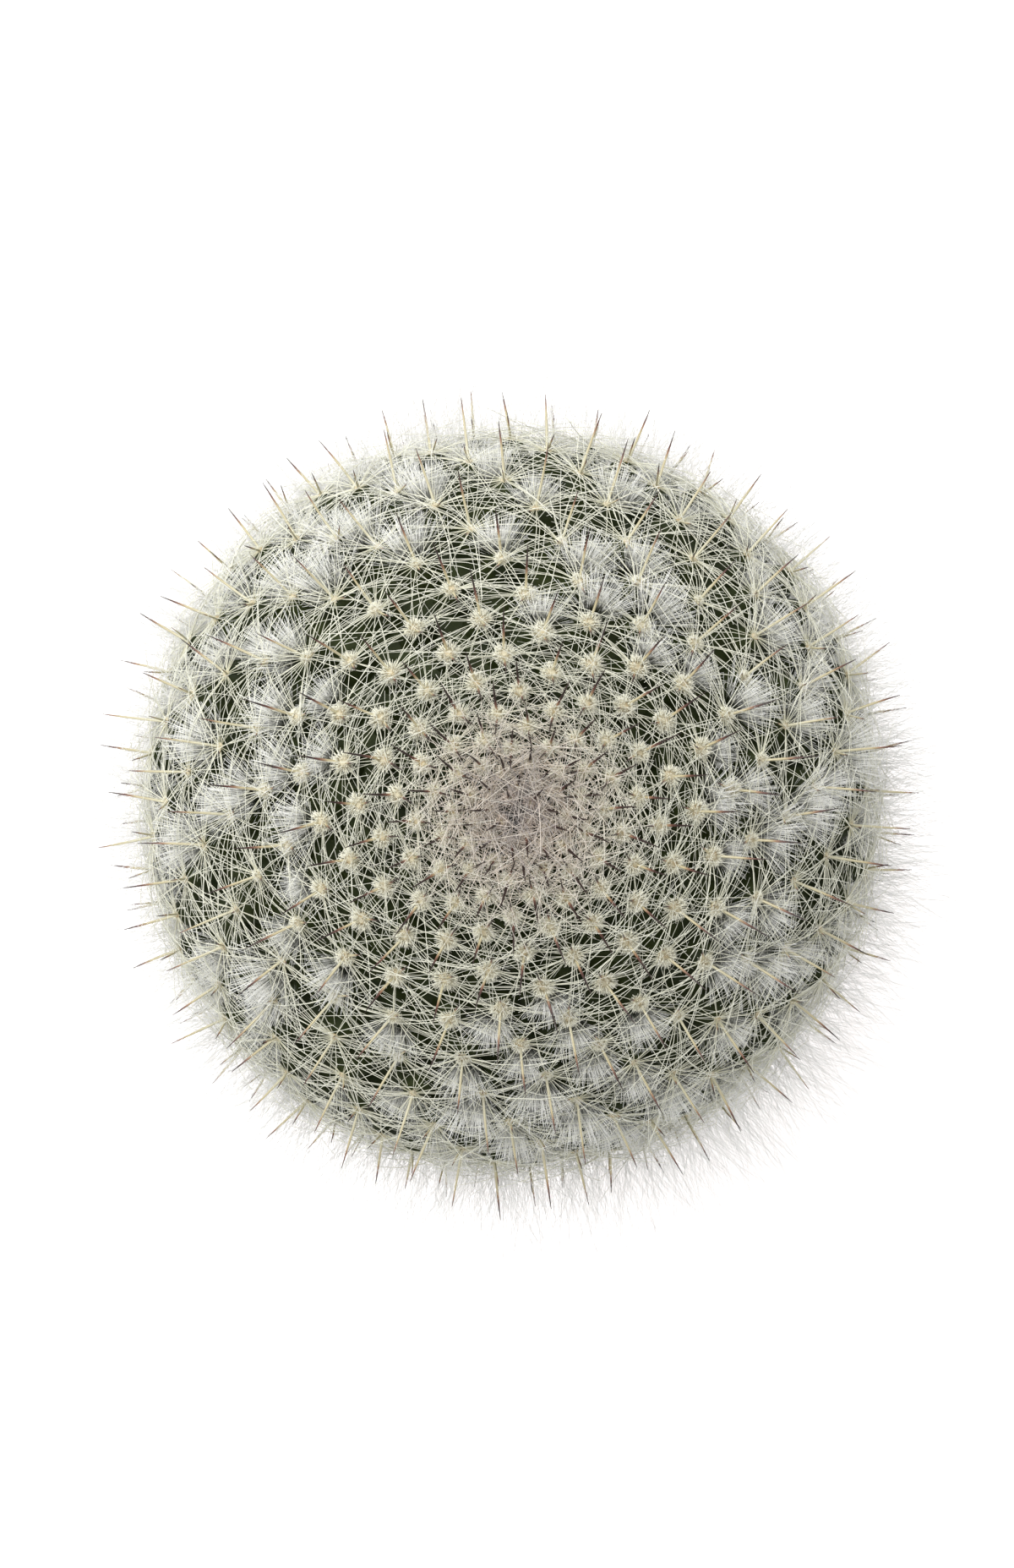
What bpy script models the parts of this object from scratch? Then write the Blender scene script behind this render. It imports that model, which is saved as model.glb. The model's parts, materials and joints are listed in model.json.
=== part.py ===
# Potted old lady cactus: a round spiny cactus standing in gritty soil in a plain terracotta pot.
# Lengths are in metres. The pot stands on z = 0, centred on the Z axis, and +Z is up.

import math
import random

import bmesh
import bpy
import numpy as np
from mathutils import Vector
from mathutils.geometry import delaunay_2d_cdt

GAP = 0.0003  # clearance between pieces that touch on the real object
SHARP_EDGE = math.radians(38)
NEAR_ZERO = 1e-9

# Pot: tapered wall with a straight rim band and one drain hole
POT_HEIGHT = 0.080
POT_SIDES = 64
RIM_RADIUS = 0.045
RIM_HEIGHT = 0.016
RIM_LEDGE = 0.0026
RIM_TAPER = 0.001  # how much narrower the band is at its foot
LEDGE_SLOPE = 0.0008
BASE_RADIUS = 0.030
WALL = 0.0044
WALL_THINNING = 0.0012  # the wall's foot is thinner than its top by this much
FLOOR = 0.0055
DRAIN_RADIUS = 0.006
ROUNDING = 0.0012
ARC_STEPS = 3
TERRACOTTA = (0.52, 0.23, 0.13)

# Soil: fills the pot to just below the rim, with a plain hole for the stem's neck
SOIL_TOP = 0.0725
SOIL_RINGS = 8
SOIL_EDGE_DIP = 0.0004
GRIT_HEIGHT = 0.0011
GRIT_DIP = -0.35  # lowest point of the surface, as a share of the grit's height
GRIT_SHIFT = 0.4
HOLE_DEPTH = 0.014
HOLE_TAPER = 0.004
COMPOST = (0.075, 0.050, 0.034)

# Stem: a slightly flattened globe measured over the tubercle tips
STEM_RADIUS = 0.047
STEM_MIDDLE = 0.108
STEM_UPPER = 0.0365
STEM_LOWER = 0.042
LAST_TUBERCLE = 0.0790  # height of the lowest tubercles' centres
NECK_SIDES = 36
NECK_INSET = 0.0015  # step from the lowest valleys in to the neck
NECK_BENDS = (0.0022, 0.0006)  # heights above the soil where the neck's side bends
PROFILE_STEPS = 6000
MAP_MARGIN = 4.0  # how far the flat map goes on inside its first step
GREEN_FLESH = (0.045, 0.085, 0.032)

# Spiral order of the tubercles: a fixed turn from each one to the next
TURN = 0.227986
FIRST_ANGLE = 2.7012
SPACING_YOUNG = 0.00168
SPACING_GROWN = 0.00941
SPACING_REACH = 0.0400
SPACING_MATURE = 0.0078  # where tubercles and spines are full size
FIRST_TUBERCLE = 2
EDGE_MARGIN = 0.45  # room below the last tubercle, in spacings

# Tubercle: cone with a small domed areole at its tip, sized by the spacing there
TUBERCLE_HEIGHT = 0.52
AREOLE_RADIUS = 0.125
AREOLE_SMALLEST = 0.00032
AREOLE_LARGEST = 0.3  # share of the spacing
AREOLE_DOME = 0.45

# Spines: one long central one and several radials on each areole
CENTRAL_LENGTH = 0.0085
RADIAL_LENGTH = 0.0092
YOUNG_LENGTH = 0.42  # share of the full length at the crown
LENGTH_SCATTER = (0.92, 1.06)
RADIALS = 5
SPARSE_SPACING = 0.0024  # tubercles closer than this carry one spine only
CENTRAL_RISES = (50, 42, 60, 34, 70, 78)  # degrees off the skin, best one first
RADIAL_RISES = (20, 27, 34, 42, 50, 60, 70)
RISE_SCATTER = 3
STEEPEST_RISE = 86
YOUNG_LIFT = 40  # degrees that the crown's spines stand steeper
SIDE_SWINGS = (0, 9, -9, 18, -18)
SPINE_CLEARANCE = 0.0002
SPINE_SHARE = 0.05  # the same as a share of the spacing, where that is less
AREOLE_CLEARANCE = 0.0019
AREOLE_SHARE = 0.42
RIM_CLEARANCE = 0.0012
SPINE_STEPS = 8
SEED = 11


def clear_scene():
    for thing in list(bpy.data.objects):
        bpy.data.objects.remove(thing, do_unlink=True)


def make_material(name, colour, roughness):
    material = bpy.data.materials.new(name)
    material.use_nodes = True
    shader = material.node_tree.nodes["Principled BSDF"]
    shader.inputs["Base Color"].default_value = (*colour, 1.0)
    shader.inputs["Roughness"].default_value = roughness
    shader.inputs["Metallic"].default_value = 0.0
    material.diffuse_color = (*colour, 1.0)
    return material


def finish_object(name, bm, material, root):
    """Closes one piece: faces turned outward, smooth skin, real edges kept sharp."""
    bmesh.ops.recalc_face_normals(bm, faces=bm.faces)
    for face in bm.faces:
        face.smooth = True
    for edge in bm.edges:
        edge.smooth = edge.calc_face_angle(0.0) < SHARP_EDGE
    mesh = bpy.data.meshes.new(name)
    bm.to_mesh(mesh)
    bm.free()
    mesh.materials.append(material)
    thing = bpy.data.objects.new(name, mesh)
    bpy.context.scene.collection.objects.link(thing)
    thing.parent = root
    return thing


def ring(bm, radius, height, sides):
    verts = []
    for k in range(sides):
        angle = 2 * math.pi * k / sides
        verts.append(bm.verts.new((radius * math.cos(angle), radius * math.sin(angle), height)))
    return verts


def bridge(bm, lower, upper):
    """Joins two rings with the same number of vertices by a band of quads."""
    count = len(lower)
    for k in range(count):
        after = (k + 1) % count
        bm.faces.new((lower[k], lower[after], upper[after], upper[k]))


def cap(bm, verts, centre):
    middle = bm.verts.new(centre)
    for k in range(len(verts)):
        bm.faces.new((verts[k], verts[(k + 1) % len(verts)], middle))


# Pot

def wall_top_radius():
    """Radius of the outer wall where the rim band starts."""
    return RIM_RADIUS - RIM_LEDGE - RIM_TAPER


def inner_radius(z):
    """Radius of the pot's inside at height z."""
    top = RIM_RADIUS - WALL
    bottom = BASE_RADIUS - WALL + WALL_THINNING
    return bottom + (top - bottom) * (z - FLOOR) / (POT_HEIGHT - FLOOR)


def corner(radius, height, start, turn=90):
    """Points of a rounded corner: start is the angle of the first one, in degrees."""
    points = []
    for k in range(ARC_STEPS + 1):
        angle = math.radians(start + turn * k / ARC_STEPS)
        points.append((radius + ROUNDING * math.cos(angle), height + ROUNDING * math.sin(angle)))
    return points


def pot_profile():
    """Closed outline of the wall's cross-section, from the drain hole outwards and back."""
    band_foot = POT_HEIGHT - RIM_HEIGHT
    outline = [(DRAIN_RADIUS, 0.0)]
    outline += corner(BASE_RADIUS - ROUNDING, ROUNDING, -90)
    outline.append((wall_top_radius(), band_foot - LEDGE_SLOPE))
    outline += corner(RIM_RADIUS - RIM_TAPER - ROUNDING, band_foot + ROUNDING, -90)
    outline += corner(RIM_RADIUS - ROUNDING, POT_HEIGHT - ROUNDING, 0)
    outline += corner(inner_radius(POT_HEIGHT) + ROUNDING, POT_HEIGHT - ROUNDING, 90)
    outline.append((inner_radius(FLOOR), FLOOR))
    outline.append((DRAIN_RADIUS, FLOOR))
    return outline


def build_pot(root):
    bm = bmesh.new()
    rings = [ring(bm, radius, height, POT_SIDES) for radius, height in pot_profile()]
    for k, lower in enumerate(rings):
        bridge(bm, lower, rings[(k + 1) % len(rings)])
    terracotta = make_material("terracotta", TERRACOTTA, 0.85)
    return finish_object("pot", bm, terracotta, root)


# Soil

def neck_radius(z):
    """Radius of the stem's smooth neck at height z, below the tubercles."""
    top_radius = NECK_TOP_RADIUS - NECK_INSET
    depth = max(0.0, SOIL_TOP - z)
    return top_radius - HOLE_TAPER * depth / HOLE_DEPTH


def build_soil(root):
    rng = random.Random(SEED + 1)
    bm = bmesh.new()
    hole_floor = SOIL_TOP - HOLE_DEPTH
    inner = neck_radius(SOIL_TOP) + GAP
    outer = inner_radius(SOIL_TOP) - GAP
    bottom = ring(bm, inner_radius(FLOOR) - 2 * GAP, FLOOR + GAP, POT_SIDES)
    cap(bm, bottom, (0, 0, FLOOR + GAP))
    previous = ring(bm, outer, SOIL_TOP - SOIL_EDGE_DIP, POT_SIDES)
    bridge(bm, bottom, previous)
    for k in range(1, SOIL_RINGS):
        share = k / SOIL_RINGS
        band = ring(bm, outer + (inner - outer) * share, SOIL_TOP, POT_SIDES)
        for vert in band:
            vert.co.z += rng.uniform(GRIT_DIP, 1.0) * GRIT_HEIGHT
            vert.co.x += rng.uniform(-GRIT_SHIFT, GRIT_SHIFT) * GRIT_HEIGHT
            vert.co.y += rng.uniform(-GRIT_SHIFT, GRIT_SHIFT) * GRIT_HEIGHT
        bridge(bm, previous, band)
        previous = band
    lip = ring(bm, inner, SOIL_TOP, POT_SIDES)
    bridge(bm, previous, lip)
    foot = ring(bm, neck_radius(hole_floor) + GAP, hole_floor, POT_SIDES)
    bridge(bm, lip, foot)
    cap(bm, foot, (0, 0, hole_floor))
    compost = make_material("compost", COMPOST, 0.95)
    return finish_object("soil", bm, compost, root)


# Stem outline, as tables along the meridian from the crown down

class Meridian:
    """The globe's outline over the tubercle tips, by distance along it from the crown."""

    def __init__(self):
        lowest = math.acos((LAST_TUBERCLE - STEM_MIDDLE) / STEM_LOWER)
        tilt = np.linspace(0.0, lowest, PROFILE_STEPS)
        semi = np.where(tilt < math.pi / 2, STEM_UPPER, STEM_LOWER)
        self.radius = STEM_RADIUS * np.sin(tilt)
        self.height = STEM_MIDDLE + semi * np.cos(tilt)
        steps = np.hypot(np.diff(self.radius), np.diff(self.height))
        self.along = np.concatenate([[0.0], np.cumsum(steps)])
        self.end = float(self.along[-1])
        density = 2 * math.pi * self.radius / spacing(self.along) ** 2
        self.count = np.concatenate([[0.0], np.cumsum((density[1:] + density[:-1]) / 2 * steps)])
        # Flat map that keeps angles: the log of a point's distance from the map's centre
        inverse = 1.0 / np.maximum(self.radius, NEAR_ZERO)
        self.log_map = np.zeros_like(self.along)
        self.log_map[2:] = np.cumsum((inverse[2:] + inverse[1:-1]) / 2 * steps[1:])
        self.log_map[1:] += math.log(self.along[1])
        self.log_map[0] = self.log_map[1] - MAP_MARGIN

    def where(self, along):
        """Radius, height and outward direction (radial, up) at a distance from the crown."""
        radius = float(np.interp(along, self.along, self.radius))
        height = float(np.interp(along, self.along, self.height))
        semi = STEM_UPPER if height > STEM_MIDDLE else STEM_LOWER
        out = radius / STEM_RADIUS ** 2
        up = (height - STEM_MIDDLE) / semi ** 2
        size = math.hypot(out, up)
        return radius, height, out / size, up / size

    def map_radius(self, along):
        return math.exp(float(np.interp(along, self.along, self.log_map)))

    def along_from_map(self, map_radius):
        return float(np.interp(math.log(max(map_radius, NEAR_ZERO)), self.log_map, self.along))

    def point(self, along, angle, sunk):
        """Point on the globe at a distance from the crown, sunk below the tip surface."""
        radius, height, out, up = self.where(along)
        flat = radius - sunk * out
        return Vector((flat * math.cos(angle), flat * math.sin(angle), height - sunk * up))


def spacing(along):
    """Distance between neighbouring tubercles, which grows from the crown down."""
    return SPACING_YOUNG + (SPACING_GROWN - SPACING_YOUNG) * np.tanh(along / SPACING_REACH)


def tubercle_height(along):
    return TUBERCLE_HEIGHT * float(spacing(along))


MERIDIAN = Meridian()
NECK_TOP_RADIUS = MERIDIAN.point(MERIDIAN.end, 0.0, tubercle_height(MERIDIAN.end)).x


def tubercle_places():
    """Distance from the crown and angle of every tubercle, in spiral order."""
    places = []
    margin = EDGE_MARGIN * float(spacing(MERIDIAN.end))
    last = int(np.interp(MERIDIAN.end - margin, MERIDIAN.along, MERIDIAN.count))
    for number in range(FIRST_TUBERCLE, last + 1):
        along = float(np.interp(number, MERIDIAN.count, MERIDIAN.along))
        angle = FIRST_ANGLE + 2 * math.pi * TURN * number
        places.append((along, angle))
    return places


# Spines

def segment_room(start, tip, width, starts, tips, widths):
    """Free space between one tapering spine and many others, at their closest points."""
    first = tip - start
    others = tips - starts
    offset = start - starts
    a = float(first @ first)
    e = np.einsum("ij,ij->i", others, others)
    f = np.einsum("ij,ij->i", others, offset)
    b = others @ first
    c = offset @ first
    spread = np.maximum(a * e - b * b, NEAR_ZERO ** 2)
    s = np.clip((b * f - c * e) / spread, 0.0, 1.0)
    t = np.clip((b * s + f) / e, 0.0, 1.0)
    s = np.clip((b * t - c) / a, 0.0, 1.0)
    gap = (start + s[:, None] * first) - (starts + t[:, None] * others)
    return np.linalg.norm(gap, axis=1) - width * (1 - s) - widths * (1 - t)


def point_gaps(start, tip, points):
    """Shortest distances from one segment to many points."""
    first = tip - start
    share = np.clip((points - start) @ first / float(first @ first), 0.0, 1.0)
    return np.linalg.norm(start + share[:, None] * first - points, axis=1)


def clears_pot(start, tip):
    """True where the whole spine stays off the rim and the soil."""
    rim_inside = inner_radius(POT_HEIGHT) - RIM_CLEARANCE
    rim_outside = RIM_RADIUS + RIM_CLEARANCE
    rim_top = POT_HEIGHT + RIM_CLEARANCE
    soil_top = SOIL_TOP + GRIT_HEIGHT + RIM_CLEARANCE
    for k in range(1, SPINE_STEPS + 1):
        point = start + (tip - start) * k / SPINE_STEPS
        flat = math.hypot(point[0], point[1])
        if point[2] < rim_top and rim_inside < flat < rim_outside:
            return False
        if point[2] < soil_top:
            return False
    return True


class SpineField:
    """Every spine placed so far, and the areoles that new ones have to keep off."""

    def __init__(self, areoles):
        self.areoles = areoles
        self.starts = np.zeros((0, 3))
        self.tips = np.zeros((0, 3))
        self.widths = np.zeros(0)
        self.owners = np.zeros(0, dtype=int)

    def is_clear(self, owner, start, tip, width):
        if not clears_pot(start, tip):
            return False
        others = np.delete(self.areoles, owner, axis=0)
        nearest = np.linalg.norm(others - self.areoles[owner], axis=1).min()
        if point_gaps(start, tip, others).min() < min(AREOLE_CLEARANCE, AREOLE_SHARE * nearest):
            return False
        strangers = self.owners != owner
        if not strangers.any():
            return True
        placed = (self.starts[strangers], self.tips[strangers], self.widths[strangers])
        room = segment_room(start, tip, width, *placed).min()
        return room > min(SPINE_CLEARANCE, SPINE_SHARE * nearest)

    def add(self, owner, start, tip, width):
        self.starts = np.vstack([self.starts, start])
        self.tips = np.vstack([self.tips, tip])
        self.widths = np.append(self.widths, width)
        self.owners = np.append(self.owners, owner)


def grown_share(along):
    """0 at the crown, 1 where the tubercles are fully grown."""
    share = (float(spacing(along)) - SPACING_YOUNG) / (SPACING_MATURE - SPACING_YOUNG)
    return min(1.0, share)


def spine_direction(frame, side, rise):
    """Unit direction: side turns from straight down the stem, rise lifts off the skin."""
    outward, down, across = frame
    flat = down * math.cos(side) + across * math.sin(side)
    return flat * math.cos(rise) + outward * math.sin(rise)


def try_spine(field, owner, centre, width, frame, side, rises, length):
    """First direction in which a spine of this length meets nothing, or None."""
    start = np.array(centre)
    for rise in rises:
        for swing in SIDE_SWINGS:
            way = spine_direction(frame, side + math.radians(swing), math.radians(rise))
            tip = start + length * np.array(way)
            if field.is_clear(owner, start, tip, width):
                field.add(owner, start, tip, width)
                return Vector(tip)
    return None


def areole_sides(loop, centre, frame):
    """Angle of each base corner round the areole, from straight down the stem."""
    down, across = frame[1:]
    sides = []
    for vert in loop:
        offset = vert.co - centre
        sides.append(math.atan2(offset.dot(across), offset.dot(down)))
    return sides


def middle_angle(first, second):
    turn = (second - first + math.pi) % (2 * math.pi) - math.pi
    return first + turn / 2


def grow_spines(bm, field, owner, rim, hub, frame, along, rng):
    """Draws areole facets out into three-sided spines."""
    count = len(rim)
    centre = hub.co.copy()
    corners = areole_sides(rim, centre, frame)
    facets = [middle_angle(corners[k], corners[(k + 1) % count]) for k in range(count)]
    grown = grown_share(along)
    scale = YOUNG_LENGTH + (1 - YOUNG_LENGTH) * grown
    lift = YOUNG_LIFT * (1 - grown)
    order = sorted(range(count), key=lambda k: abs(math.remainder(facets[k], 2 * math.pi)))
    sparse = float(spacing(along)) < SPARSE_SPACING
    wanted = 1 if sparse else 1 + RADIALS
    placed = 0
    for rank, k in enumerate(order):
        full_length = CENTRAL_LENGTH if rank == 0 else RADIAL_LENGTH
        length = full_length * scale * rng.uniform(*LENGTH_SCATTER)
        rises = []
        for rise in (CENTRAL_RISES if rank == 0 else RADIAL_RISES):
            turned = rise + lift + rng.uniform(-RISE_SCATTER, RISE_SCATTER)
            rises.append(min(STEEPEST_RISE, turned))
        a = rim[k]
        b = rim[(k + 1) % count]
        root_point = (a.co + b.co + centre) / 3
        width = (a.co - root_point).length
        tip = None
        if placed < wanted:
            tip = try_spine(field, owner, root_point, width, frame, facets[k], rises, length)
        if tip is None:
            bm.faces.new((a, b, hub))
            continue
        placed += 1
        point = bm.verts.new(tip)
        bm.faces.new((a, b, point))
        bm.faces.new((b, hub, point))
        bm.faces.new((hub, a, point))
    return placed


# Stem

def flat_map(places):
    """Tubercle centres and neck corners on the flat map, ready to be joined by triangles."""
    points = []
    for along, angle in places:
        far = MERIDIAN.map_radius(along)
        points.append(Vector((far * math.cos(angle), far * math.sin(angle))))
    edge = MERIDIAN.map_radius(MERIDIAN.end)
    for k in range(NECK_SIDES):
        angle = 2 * math.pi * k / NECK_SIDES
        points.append(Vector((edge * math.cos(angle), edge * math.sin(angle))))
    return points


def triangle_middle(points, corners):
    return (points[corners[0]] + points[corners[1]] + points[corners[2]]) / 3


def valley_point(points, triangle):
    """Lowest point between three neighbouring tubercles."""
    middle = triangle_middle(points, triangle)
    along = MERIDIAN.along_from_map(middle.length)
    return MERIDIAN.point(along, math.atan2(middle.y, middle.x), tubercle_height(along))


def ordered_fan(points, hub, triangles, members, axis):
    """The triangles round a point, sorted by their angle about it from an axis."""
    def turn(index):
        offset = triangle_middle(points, triangles[index]) - points[hub]
        return math.atan2(axis.x * offset.y - axis.y * offset.x, axis.dot(offset))
    return sorted(members, key=turn)


def tubercle_frame(along, angle):
    """Outward, down-the-stem and across directions at a tubercle's tip."""
    out, up = MERIDIAN.where(along)[2:]
    outward = Vector((out * math.cos(angle), out * math.sin(angle), up))
    down = Vector((up * math.cos(angle), up * math.sin(angle), -out))
    return outward, down, outward.cross(down)


def raise_tubercle(bm, base, along, angle):
    """Cone from its base corners up to a ring round the areole. Returns the ring and its hub."""
    outward = tubercle_frame(along, angle)[0]
    radius = max(AREOLE_SMALLEST, AREOLE_RADIUS * float(spacing(along)))
    radius = min(radius, AREOLE_LARGEST * float(spacing(along)))
    tip = MERIDIAN.point(along, angle, AREOLE_DOME * radius)
    rim = []
    for vert in base:
        offset = vert.co - tip
        flat = offset - outward * offset.dot(outward)
        rim.append(bm.verts.new(tip + flat.normalized() * radius))
    for k in range(len(base)):
        after = (k + 1) % len(base)
        bm.faces.new((base[k], base[after], rim[after], rim[k]))
    hub = bm.verts.new(tip + outward * AREOLE_DOME * radius)
    return rim, hub


def build_neck(bm, top):
    """Smooth neck from the last tubercles down into the hole in the soil."""
    heights = [SOIL_TOP + bend for bend in NECK_BENDS]
    heights.append(SOIL_TOP - HOLE_DEPTH + GAP)
    previous = top
    for height in heights:
        band = ring(bm, neck_radius(height), height, NECK_SIDES)
        bridge(bm, previous, band)
        previous = band
    cap(bm, previous, (0, 0, heights[-1]))


def build_stem(root):
    rng = random.Random(SEED)
    bm = bmesh.new()
    places = tubercle_places()
    points = flat_map(places)
    triangles = [tuple(face) for face in delaunay_2d_cdt(points, [], [], 0, NEAR_ZERO)[2]]
    around = [[] for point in points]
    for index, corners in enumerate(triangles):
        for corner_index in corners:
            around[corner_index].append(index)
    valleys = [bm.verts.new(valley_point(points, corners)) for corners in triangles]
    neck_sunk = tubercle_height(MERIDIAN.end)
    neck = []
    for k in range(NECK_SIDES):
        angle = 2 * math.pi * k / NECK_SIDES
        neck.append(bm.verts.new(MERIDIAN.point(MERIDIAN.end, angle, neck_sunk)))
    areoles = np.array([MERIDIAN.point(along, angle, 0.0) for along, angle in places])
    field = SpineField(areoles)
    spines = 0
    for number, (along, angle) in enumerate(places):
        fan = ordered_fan(points, number, triangles, around[number], Vector((1.0, 0.0)))
        base = [valleys[index] for index in fan]
        rim, hub = raise_tubercle(bm, base, along, angle)
        frame = tubercle_frame(along, angle)
        spines += grow_spines(bm, field, number, rim, hub, frame, along, rng)
    join_neck(bm, points, triangles, around, valleys, neck, len(places))
    build_neck(bm, neck)
    print("tubercles", len(places), "spines", spines)
    flesh = make_material("green_flesh", GREEN_FLESH, 0.6)
    return finish_object("stem", bm, flesh, root)


def join_neck(bm, points, triangles, around, valleys, neck, first):
    """Closes the skin between the lowest valleys and the neck's top ring."""
    for k in range(NECK_SIDES):
        after = (k + 1) % NECK_SIDES
        shared = set(around[first + k]) & set(around[first + after])
        bm.faces.new((neck[k], neck[after], valleys[shared.pop()]))
        inward = -points[first + k]
        fan = ordered_fan(points, first + k, triangles, around[first + k], inward)
        for before, following in zip(fan, fan[1:]):
            bm.faces.new((neck[k], valleys[before], valleys[following]))


def main():
    clear_scene()
    root = bpy.data.objects.new("potted_old_lady_cactus", None)
    bpy.context.scene.collection.objects.link(root)
    build_pot(root)
    build_soil(root)
    build_stem(root)


main()
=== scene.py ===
# Potted old lady cactus, dressed for the photograph: hair, spines, skin, soil and clay.
# Lengths are in metres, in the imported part's own frame.
import json
import math
import random

import bmesh
import bpy
import numpy as np
from mathutils import Matrix, Vector, noise

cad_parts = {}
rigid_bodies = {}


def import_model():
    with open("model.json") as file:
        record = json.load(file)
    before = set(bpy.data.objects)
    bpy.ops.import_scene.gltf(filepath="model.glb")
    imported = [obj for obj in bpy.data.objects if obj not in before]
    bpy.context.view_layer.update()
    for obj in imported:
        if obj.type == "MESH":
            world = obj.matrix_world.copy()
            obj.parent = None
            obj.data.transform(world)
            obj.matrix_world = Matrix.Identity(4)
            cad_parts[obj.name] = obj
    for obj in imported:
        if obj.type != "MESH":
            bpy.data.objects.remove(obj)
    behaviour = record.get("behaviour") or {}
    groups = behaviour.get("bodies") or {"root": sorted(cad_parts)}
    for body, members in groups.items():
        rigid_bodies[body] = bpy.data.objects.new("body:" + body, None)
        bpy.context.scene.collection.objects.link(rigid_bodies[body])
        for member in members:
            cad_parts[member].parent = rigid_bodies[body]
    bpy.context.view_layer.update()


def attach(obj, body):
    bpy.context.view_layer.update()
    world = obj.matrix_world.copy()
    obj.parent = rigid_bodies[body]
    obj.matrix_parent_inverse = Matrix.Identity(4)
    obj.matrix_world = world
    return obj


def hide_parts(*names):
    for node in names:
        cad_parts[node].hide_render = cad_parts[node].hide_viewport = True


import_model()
scene = bpy.context.scene
print("stage: frame loaded")


# Small helpers for node trees and objects

def setOrLink(tree, socket, value):
    # value is a number, a vector, or another node's output
    if isinstance(value, bpy.types.NodeSocket):
        tree.links.new(value, socket)
    else:
        socket.default_value = value


def addNode(tree, kind, sockets=None, **settings):
    # sockets holds what goes into the node's inputs, by name or number
    node = tree.nodes.new(kind)
    for name, value in settings.items():
        setattr(node, name, value)
    for label, value in (sockets or {}).items():
        setOrLink(tree, node.inputs[label], value)
    return node


def mathNode(tree, operation, *values):
    return addNode(tree, "ShaderNodeMath", dict(enumerate(values)), operation=operation).outputs[0]


def times(tree, first, second):
    return mathNode(tree, "MULTIPLY", first, second)


def oneMinus(tree, value):
    return mathNode(tree, "SUBTRACT", 1.0, value)


def vectorNode(tree, operation, first, second):
    sockets = {0: first, 1: second}
    return addNode(tree, "ShaderNodeVectorMath", sockets, operation=operation).outputs[0]


def scaled(tree, vector, factor):
    sockets = {0: vector, "Scale": factor}
    return addNode(tree, "ShaderNodeVectorMath", sockets, operation="SCALE").outputs[0]


def openGroup(name, kind, inputs, output):
    # a node group with named sockets: inputs are (name, type, default), the output is (name, type)
    tree = bpy.data.node_groups.new(name, kind)
    for label, socketKind, value in inputs:
        socket = tree.interface.new_socket(label, in_out="INPUT",
                                           socket_type="NodeSocket" + socketKind)
        if value is not None:
            socket.default_value = value
    tree.interface.new_socket(output[0], in_out="OUTPUT", socket_type="NodeSocket" + output[1])
    given = tree.nodes.new("NodeGroupInput").outputs
    return tree, given, tree.nodes.new("NodeGroupOutput").inputs


def setInputs(modifier, values):
    # values are named as the tree's sockets; the modifier wants their identifiers
    for item in modifier.node_group.interface.items_tree:
        if item.item_type == "SOCKET" and item.in_out == "INPUT" and item.name in values:
            modifier[item.identifier] = values[item.name]


def plainMesh(carrier, name):
    # the evaluated result as an ordinary mesh object; the carrier goes
    graph = bpy.context.evaluated_depsgraph_get()
    mesh = bpy.data.meshes.new_from_object(carrier.evaluated_get(graph))
    bpy.data.objects.remove(carrier)
    mesh.name = name
    return newObject(name, mesh)


def newObject(name, data):
    thing = bpy.data.objects.new(name, data)
    scene.collection.objects.link(thing)
    return thing


def grow(name, mesh, tree, values):
    # runs a Geometry Nodes tree on a mesh and keeps the plain result
    carrier = newObject(name + "Carrier", mesh)
    modifier = carrier.modifiers.new(tree.name, "NODES")
    modifier.node_group = tree
    setInputs(modifier, values)
    piece = plainMesh(carrier, name)
    print("  ", name, len(piece.data.polygons), "faces")
    return piece


# Stem outline and spiral order of its tubercles

stemShape = {
    "radius": 0.047,  # over the tubercle tips
    "middle": 0.108,  # height of the widest level
    "upper": 0.0365,
    "lower": 0.042,
    "lastTubercle": 0.079,
    "turn": 0.227986,  # of a full turn, from each tubercle to the next
    "firstAngle": 2.7012,
    "firstTubercle": 2,
    "spacingYoung": 0.00168,
    "spacingGrown": 0.00941,
    "spacingReach": 0.040,
    "spacingMature": 0.0078,
    "tubercleHeight": 0.52,  # of the spacing
    "lastMargin": 0.45,  # of the spacing, left free at the foot
}


def spacingAt(along):
    s = stemShape
    gain = s["spacingGrown"] - s["spacingYoung"]
    return s["spacingYoung"] + gain * np.tanh(along / s["spacingReach"])


def meridianTable():
    s = stemShape
    lowest = math.acos((s["lastTubercle"] - s["middle"]) / s["lower"])
    tilt = np.linspace(0.0, lowest, 6000)
    semi = np.where(tilt < math.pi / 2, s["upper"], s["lower"])
    radius = s["radius"] * np.sin(tilt)
    height = s["middle"] + semi * np.cos(tilt)
    steps = np.hypot(np.diff(radius), np.diff(height))
    along = np.concatenate([[0.0], np.cumsum(steps)])
    density = 2 * math.pi * radius / spacingAt(along) ** 2
    count = np.concatenate([[0.0], np.cumsum((density[1:] + density[:-1]) / 2 * steps)])
    return {"along": along, "radius": radius, "height": height, "count": count}


meridian = meridianTable()


def onStem(along, angle, sunk=0.0):
    # point, outward direction and down-the-stem direction
    radius = float(np.interp(along, meridian["along"], meridian["radius"]))
    height = float(np.interp(along, meridian["along"], meridian["height"]))
    semi = stemShape["upper"] if height > stemShape["middle"] else stemShape["lower"]
    out = radius / stemShape["radius"] ** 2
    up = (height - stemShape["middle"]) / semi ** 2
    out, up = out / math.hypot(out, up), up / math.hypot(out, up)
    around = (math.cos(angle), math.sin(angle))
    outward = Vector((out * around[0], out * around[1], up))
    down = Vector((up * around[0], up * around[1], -out))
    point = Vector((radius * around[0], radius * around[1], height)) - outward * sunk
    return point, outward, down


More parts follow.
